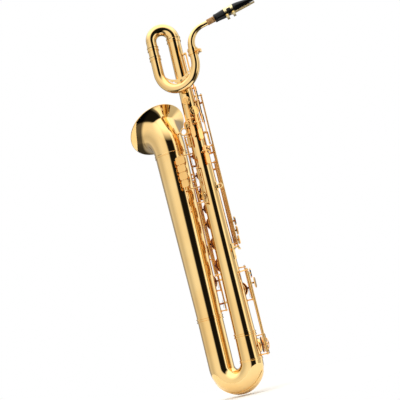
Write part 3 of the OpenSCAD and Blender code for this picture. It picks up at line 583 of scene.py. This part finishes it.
# ---------------------------------------------------------------------------------------------
# Hinge rods and needle springs. The rods are ground steel, screwed through the posts. The
# springs are thin steel, blued by heating and pressed into the posts.
def plain_metal(name, color, rough, grain):
    """Bare steel: tone and roughness vary along fine turning marks."""
    material = bpy.data.materials.new(name)
    material.use_nodes = True
    tree = material.node_tree
    shader = tree.nodes["Principled BSDF"]
    place = node(tree, "ShaderNodeTexCoord").outputs["Object"]
    fine = node(tree, "ShaderNodeTexNoise", inputs={"Vector": place, "Scale": grain, "Detail": 3.0})
    shade = node(tree, "ShaderNodeMapRange", inputs={
        "Value": fine.outputs["Fac"], "To Min": rough * 0.7, "To Max": rough * 1.4})
    mix = node(tree, "ShaderNodeMix", data_type="RGBA", inputs={
        "Factor": fine.outputs["Fac"], 6: color, 7: tuple(0.75 * c for c in color[:3]) + (1,)})
    tree.links.new(mix.outputs[2], shader.inputs["Base Color"])
    tree.links.new(shade.outputs["Result"], shader.inputs["Roughness"])
    shader.inputs["Metallic"].default_value = 1.0
    return material


rod_steel = plain_metal("rod_steel", (0.62, 0.61, 0.6, 1), 0.2, 900.0)
blue_steel = plain_metal("blue_steel", (0.09, 0.13, 0.3, 1), 0.25, 900.0)
dressed("hinge_rods", [rod_steel], 0)
dressed("needle_springs", [blue_steel], 0)


# ---------------------------------------------------------------------------------------------
# Keys. Each has a stamped cup, an arm and a hinge tube of lacquered brass, a leather pad and,
# where a finger rests, a pearl touch. Pads are kid leather over felt; pearls are shell.
def leather():
    material = bpy.data.materials.new("pad_leather")
    material.use_nodes = True
    tree = material.node_tree
    shader = tree.nodes["Principled BSDF"]
    place = node(tree, "ShaderNodeTexCoord").outputs["Object"]
    pores = node(tree, "ShaderNodeTexVoronoi", inputs={"Vector": place, "Scale": 1400.0})
    cloud = node(tree, "ShaderNodeTexNoise", inputs={"Vector": place, "Scale": 90.0, "Detail": 4.0})
    color = node(tree, "ShaderNodeMix", data_type="RGBA", inputs={
        "Factor": cloud.outputs["Fac"], 6: (0.3, 0.085, 0.03, 1), 7: (0.16, 0.04, 0.016, 1)})
    bump = node(tree, "ShaderNodeBump", inputs={
        "Height": pores.outputs["Distance"], "Strength": 0.4, "Distance": 0.0002})
    tree.links.new(color.outputs[2], shader.inputs["Base Color"])
    tree.links.new(bump.outputs["Normal"], shader.inputs["Normal"])
    shader.inputs["Roughness"].default_value = 0.55
    return material


def shell():
    material = bpy.data.materials.new("shell_pearl")
    material.use_nodes = True
    tree = material.node_tree
    shader = tree.nodes["Principled BSDF"]
    place = node(tree, "ShaderNodeTexCoord").outputs["Object"]
    layers = node(tree, "ShaderNodeTexNoise", inputs={
        "Vector": place, "Scale": 160.0, "Detail": 5.0, "Distortion": 1.5})
    color = node(tree, "ShaderNodeValToRGB", inputs={"Fac": layers.outputs["Fac"]})
    ramp = color.color_ramp
    ramp.elements[0].position = 0.35
    ramp.elements[0].color = (0.78, 0.86, 0.84, 1)
    ramp.elements[1].position = 0.65
    ramp.elements[1].color = (0.93, 0.88, 0.9, 1)
    tree.links.new(color.outputs["Color"], shader.inputs["Base Color"])
    shader.inputs["Roughness"].default_value = 0.15
    shader.inputs["Coat Weight"].default_value = 0.6
    return material


pad_leather = leather()
shell_pearl = shell()


def islands(mesh):
    """The mesh's separate solids as lists of face numbers, widest first."""
    parent = {}

    def root(key):
        while parent[key] != key:
            parent[key] = parent[parent[key]]
            key = parent[key]
        return key

    spots = [tuple(round(c * 1e6) for c in v.co) for v in mesh.vertices]
    for spot in spots:
        parent.setdefault(spot, spot)
    for face in mesh.polygons:
        first = root(spots[face.vertices[0]])
        for v in face.vertices[1:]:
            parent[root(spots[v])] = first
    groups = {}
    for face in mesh.polygons:
        groups.setdefault(root(spots[face.vertices[0]]), []).append(face.index)

    def width(faces):
        points = [mesh.vertices[v].co for f in faces for v in mesh.polygons[f].vertices]
        return sum(max(p[i] for p in points) - min(p[i] for p in points) for i in range(3))

    return sorted(groups.values(), key=width, reverse=True)


key_names = [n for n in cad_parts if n.endswith("_key") or n.endswith("_lever")]
for name in key_names:
    made = dressed(name, [key_gold, pad_leather, shell_pearl], 0.2)
    for number, faces in enumerate(islands(made.data)):
        for index in faces:
            made.data.polygons[index].material_index = min(number, 2)


# ---------------------------------------------------------------------------------------------
# Key guards. Brass rings on legs over the low cups, each with a black felt bumper.
def felt():
    material = bpy.data.materials.new("black_felt")
    material.use_nodes = True
    tree = material.node_tree
    shader = tree.nodes["Principled BSDF"]
    place = node(tree, "ShaderNodeTexCoord").outputs["Object"]
    fibre = node(tree, "ShaderNodeTexNoise", inputs={"Vector": place, "Scale": 2500.0, "Detail": 4.0})
    color = node(tree, "ShaderNodeMix", data_type="RGBA", inputs={
        "Factor": fibre.outputs["Fac"], 6: (0.008, 0.008, 0.008, 1), 7: (0.04, 0.038, 0.036, 1)})
    bump = node(tree, "ShaderNodeBump", inputs={
        "Height": fibre.outputs["Fac"], "Strength": 0.7, "Distance": 0.0003})
    tree.links.new(color.outputs[2], shader.inputs["Base Color"])
    tree.links.new(bump.outputs["Normal"], shader.inputs["Normal"])
    shader.inputs["Roughness"].default_value = 0.95
    return material


FELT_WIDTH = 0.03
black_felt = felt()
guards = dressed("key_guards", [key_gold, black_felt], 0)
for faces in islands(guards.data):
    spots = [guards.data.vertices[v].co for f in faces for v in guards.data.polygons[f].vertices]
    spread = sum(max(p[i] for p in spots) - min(p[i] for p in spots) for i in range(3))
    for index in faces:
        guards.data.polygons[index].material_index = 1 if spread < FELT_WIDTH else 0


# ---------------------------------------------------------------------------------------------
# Thumb rest. A turned brass button, soldered behind the body tube where the left thumb lies.
# It is lacquered like the keys.
dressed("thumb_rest", [key_gold])


# ---------------------------------------------------------------------------------------------
# Neck. A short tapering tube, bent over a mandrel, that turns in the receiver; its tenon is
# turned brass, and a sleeve of cork is glued round its far end.
NECK_TURN = math.radians(20)
SLOPE = math.radians(12.3)
NECK_BEND = 55.0
NECK_RUN = 9.0
SOCKET_Z = 1000.0
NECK_STEPS = 60
NECK_SEAT = 4.1
NECK_R = 11.4
NECK_NARROWS = 4.2
SHANK_MM = 100
SHANK_SHARE = 0.72
SHANK_STEPS = 12
neck_way = Vector((math.cos(NECK_TURN), math.sin(NECK_TURN), 0))


def neck_point(u):
    """u runs from 0 at the bend's start to 1 at its end, and on along the straight."""
    a = min(max(u, 0), 1) * (math.pi / 2 - SLOPE)
    past = max(u - 1, 0) * SHANK_MM
    out = NECK_BEND * (1 - math.cos(a)) + past * math.cos(SLOPE)
    rise = NECK_RUN + NECK_BEND * math.sin(a) + past * math.sin(SLOPE)
    return horn(LOOP_X1, LOOP_Y, SOCKET_Z + rise) + MM * out * neck_way


path = [horn(LOOP_X1, LOOP_Y, SOCKET_Z + NECK_SEAT)]
path += [neck_point(i / NECK_STEPS) for i in range(NECK_STEPS + 1)]
path += [neck_point(1 + SHANK_SHARE * i / SHANK_STEPS) for i in range(1, SHANK_STEPS + 1)]


def neck_radius(i):
    """Follows the drawn taper: quick steps at the ends, even along the bend."""
    if i == 0:
        t = 0
    elif i <= NECK_STEPS + 1:
        t = (1 + 20 * (i - 1) / NECK_STEPS) / 22
    else:
        t = (21 + (i - NECK_STEPS - 1) / SHANK_STEPS) / 22
    return NECK_R - NECK_NARROWS * t


neck_plane = Vector((math.sin(NECK_TURN), -math.cos(NECK_TURN), 0))
neck_tube = piece("neck_tube_skin", *swept(path, [neck_radius(i) for i in range(len(path))],
                                           neck_plane, sides=96), body_gold, body="neck")
sharp_ends(neck_tube)
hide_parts("neck_tube")
dressed("neck_tenon", [body_gold])


def cork():
    material = bpy.data.materials.new("neck_cork")
    material.use_nodes = True
    tree = material.node_tree
    shader = tree.nodes["Principled BSDF"]
    place = node(tree, "ShaderNodeTexCoord").outputs["Object"]
    grain = node(tree, "ShaderNodeTexVoronoi", inputs={"Vector": place, "Scale": 420.0})
    pits = node(tree, "ShaderNodeTexNoise", inputs={"Vector": place, "Scale": 260.0, "Detail": 5.0})
    color = node(tree, "ShaderNodeValToRGB", inputs={"Fac": pits.outputs["Fac"]})
    ramp = color.color_ramp
    ramp.elements[0].position = 0.36
    ramp.elements[0].color = (0.25, 0.11, 0.035, 1)
    ramp.elements[1].position = 0.52
    ramp.elements[1].color = (0.62, 0.34, 0.13, 1)
    bump = node(tree, "ShaderNodeBump", inputs={
        "Height": grain.outputs["Distance"], "Strength": 0.5, "Distance": 0.0004})
    tree.links.new(color.outputs["Color"], shader.inputs["Base Color"])
    tree.links.new(bump.outputs["Normal"], shader.inputs["Normal"])
    shader.inputs["Roughness"].default_value = 0.8
    return material


dressed("neck_cork", [cork()])
dressed("neck_clamp_screw", [key_gold])


# ---------------------------------------------------------------------------------------------
# Mouthpiece, reed and ligature. The mouthpiece is turned and milled from black hard rubber; a
# cane reed lies on its flat table, held by a plated ligature with two screws below.
def turned_rubber(name, color, rough, grain, depth):
    """Hard rubber, turned and buffed, with a very fine grain."""
    material = bpy.data.materials.new(name)
    material.use_nodes = True
    tree = material.node_tree
    shader = tree.nodes["Principled BSDF"]
    place = node(tree, "ShaderNodeTexCoord").outputs["Object"]
    fine = node(tree, "ShaderNodeTexNoise", inputs={"Vector": place, "Scale": grain, "Detail": 3.0})
    mix = node(tree, "ShaderNodeMix", data_type="RGBA", inputs={
        "Factor": fine.outputs["Fac"], 6: color, 7: tuple(1.8 * c for c in color[:3]) + (1,)})
    shade = node(tree, "ShaderNodeMapRange", inputs={
        "Value": fine.outputs["Fac"], "To Min": rough * 0.8, "To Max": rough * 1.3})
    bump = node(tree, "ShaderNodeBump", inputs={
        "Height": fine.outputs["Fac"], "Strength": 0.2, "Distance": depth})
    tree.links.new(mix.outputs[2], shader.inputs["Base Color"])
    tree.links.new(shade.outputs["Result"], shader.inputs["Roughness"])
    tree.links.new(bump.outputs["Normal"], shader.inputs["Normal"])
    shader.inputs["Specular IOR Level"].default_value = 0.3
    return material


hard_rubber = turned_rubber("hard_rubber", (0.004, 0.004, 0.0045, 1), 0.16, 300.0, 0.00003)
dressed("mouthpiece", [hard_rubber], 0.3)


def cane():
    material = bpy.data.materials.new("reed_cane")
    material.use_nodes = True
    tree = material.node_tree
    shader = tree.nodes["Principled BSDF"]
    place = node(tree, "ShaderNodeTexCoord").outputs["Object"]
    turned_way = node(tree, "ShaderNodeMapping", inputs={
        "Vector": place, "Rotation": (0, 0, -NECK_TURN), "Scale": (60.0, 2200.0, 900.0)})
    fibre = node(tree, "ShaderNodeTexNoise", inputs={
        "Vector": turned_way.outputs["Vector"], "Scale": 1.0, "Detail": 3.0})
    color = node(tree, "ShaderNodeMix", data_type="RGBA", inputs={
        "Factor": fibre.outputs["Fac"], 6: (0.82, 0.66, 0.36, 1), 7: (0.62, 0.45, 0.2, 1)})
    tree.links.new(color.outputs[2], shader.inputs["Base Color"])
    shader.inputs["Roughness"].default_value = 0.6
    return material


dressed("reed", [cane()], 0.1)
pale_gold = lacquered("pale_gold", (0.93, 0.78, 0.46, 1), (0.85, 0.66, 0.33, 1), 0.08, 0.06, 0.0001)
for name in ("ligature", "ligature_screw_back", "ligature_screw_front"):
    dressed(name, [pale_gold], 0.2)


# ---------------------------------------------------------------------------------------------
# Studio. A pale floor, an even white backdrop and a soft round tent of light with one dark
# opening, which is what polished metal needs to show its shape.
VIEW_TURN = math.radians(28)
VIEW_RISE = math.radians(-8.5)
LEAN_IN_VIEW = math.radians(13.6)
DISTANCE = 2.77
LENS = 85
AIM_ASIDE = -35.2
AIM_Z = 572
AIM = horn(AIM_ASIDE * math.cos(VIEW_TURN), AIM_ASIDE * math.sin(VIEW_TURN), AIM_Z)

back = Vector((math.sin(VIEW_TURN) * math.cos(VIEW_RISE), -math.cos(VIEW_TURN) * math.cos(VIEW_RISE),
               math.sin(VIEW_RISE)))
level = Vector((math.cos(VIEW_TURN), math.sin(VIEW_TURN), 0))
over = back.cross(level)
right = level * math.cos(LEAN_IN_VIEW) - over * math.sin(LEAN_IN_VIEW)
top = level * math.sin(LEAN_IN_VIEW) + over * math.cos(LEAN_IN_VIEW)
camera = bpy.data.objects.new("camera", bpy.data.cameras.new("camera"))
camera.data.lens = LENS
turn = Matrix((right, top, back)).transposed().to_4x4()
camera.matrix_world = Matrix.Translation(AIM + back * DISTANCE) @ turn
bpy.context.scene.collection.objects.link(camera)
bpy.context.scene.camera = camera
bpy.context.scene.view_settings.view_transform = "Standard"

FLOOR_DROP = 0.004
FLOOR_R = 0.6
FLOOR_SIDES = 96
floor_mesh = bpy.data.meshes.new("floor")
floor_z = cad_low.z - FLOOR_DROP
floor_spots = [horn(FLOOR_R / MM * math.cos(math.tau * k / FLOOR_SIDES) - LEG_GAP / 2,
                    FLOOR_R / MM * math.sin(math.tau * k / FLOOR_SIDES), 0) for k in range(FLOOR_SIDES)]
floor_mesh.from_pydata([(v.x, v.y, floor_z) for v in floor_spots], [], [range(FLOOR_SIDES)])
floor = bpy.data.objects.new("floor", floor_mesh)
bpy.context.scene.collection.objects.link(floor)
floor_paint = bpy.data.materials.new("floor_paint")
floor_paint.use_nodes = True
floor_shader = floor_paint.node_tree.nodes["Principled BSDF"]
floor_shader.inputs["Base Color"].default_value = (0.93, 0.93, 0.93, 1)
floor_shader.inputs["Roughness"].default_value = 0.9
floor_mesh.materials.append(floor_paint)

# Brightness of the tent against the angle round the horn: 0 faces the camera, plus is its right
TENT = [(-180, 0.3), (-150, 0.35), (-128, 0.5), (-118, 0.82), (-100, 0.72), (-85, 0.7), (-66, 0.9),
        (-50, 1.04), (-20, 1.06), (-12, 0.88), (-8, 0.1), (-3, 0.01), (34, 0.01), (40, 0.25), (44, 1.5),
        (58, 1.15), (66, 0.6), (100, 0.6), (112, 1.3), (126, 1.2), (140, 0.45), (180, 0.3)]
# Where the tent ends, as the height of a direction: -1 is straight down and 1 straight up
ROOF_FROM, ROOF_TO = 0.45, 0.75
ROOF_LIGHT = (1.7, 1.7, 1.66, 1)
PIT_FROM, PIT_TO = -0.42, -0.6
PIT_SHARE = 0.12
WARMTH = 0.97
world = bpy.data.worlds.new("studio")
bpy.context.scene.world = world
world.use_nodes = True
tree = world.node_tree
way = node(tree, "ShaderNodeTexCoord").outputs["Generated"]
across = node(tree, "ShaderNodeVectorMath", operation="DOT_PRODUCT", inputs={
    0: way, 1: tuple(level)})
toward = node(tree, "ShaderNodeVectorMath", operation="DOT_PRODUCT", inputs={
    0: way, 1: (math.sin(VIEW_TURN), -math.cos(VIEW_TURN), 0)})
angle = node(tree, "ShaderNodeMath", operation="ARCTAN2", inputs={
    0: across.outputs["Value"], 1: toward.outputs["Value"]})
share = node(tree, "ShaderNodeMapRange", inputs={
    "Value": angle.outputs["Value"], "From Min": -math.pi, "From Max": math.pi})
tent = node(tree, "ShaderNodeValToRGB", inputs={"Fac": share.outputs["Result"]})
ramp = tent.color_ramp
while len(ramp.elements) < len(TENT):
    ramp.elements.new(0.5)
for stop, (degrees, light) in zip(ramp.elements, TENT):
    stop.position = (degrees + 180) / 360
    stop.color = (light, light, light * WARMTH, 1)
height = node(tree, "ShaderNodeSeparateXYZ", inputs={0: way})
roof = node(tree, "ShaderNodeMapRange", inputs={
    "Value": height.outputs["Z"], "From Min": ROOF_FROM, "From Max": ROOF_TO})
pit = node(tree, "ShaderNodeMapRange", inputs={
    "Value": height.outputs["Z"], "From Min": PIT_FROM, "From Max": PIT_TO,
    "To Min": 1.0, "To Max": PIT_SHARE})
sunk = node(tree, "ShaderNodeMix", data_type="RGBA", blend_type="MULTIPLY", inputs={
    "Factor": 1.0, 6: tent.outputs["Color"], 7: pit.outputs["Result"]})
roofed = node(tree, "ShaderNodeMix", data_type="RGBA", inputs={
    "Factor": roof.outputs["Result"], 6: sunk.outputs[2], 7: ROOF_LIGHT})
seen = node(tree, "ShaderNodeLightPath")
chosen = node(tree, "ShaderNodeMix", data_type="RGBA", inputs={
    "Factor": seen.outputs["Is Camera Ray"], 6: roofed.outputs[2], 7: (1, 1, 1, 1)})
tree.links.new(chosen.outputs[2], tree.nodes["Background"].inputs["Color"])
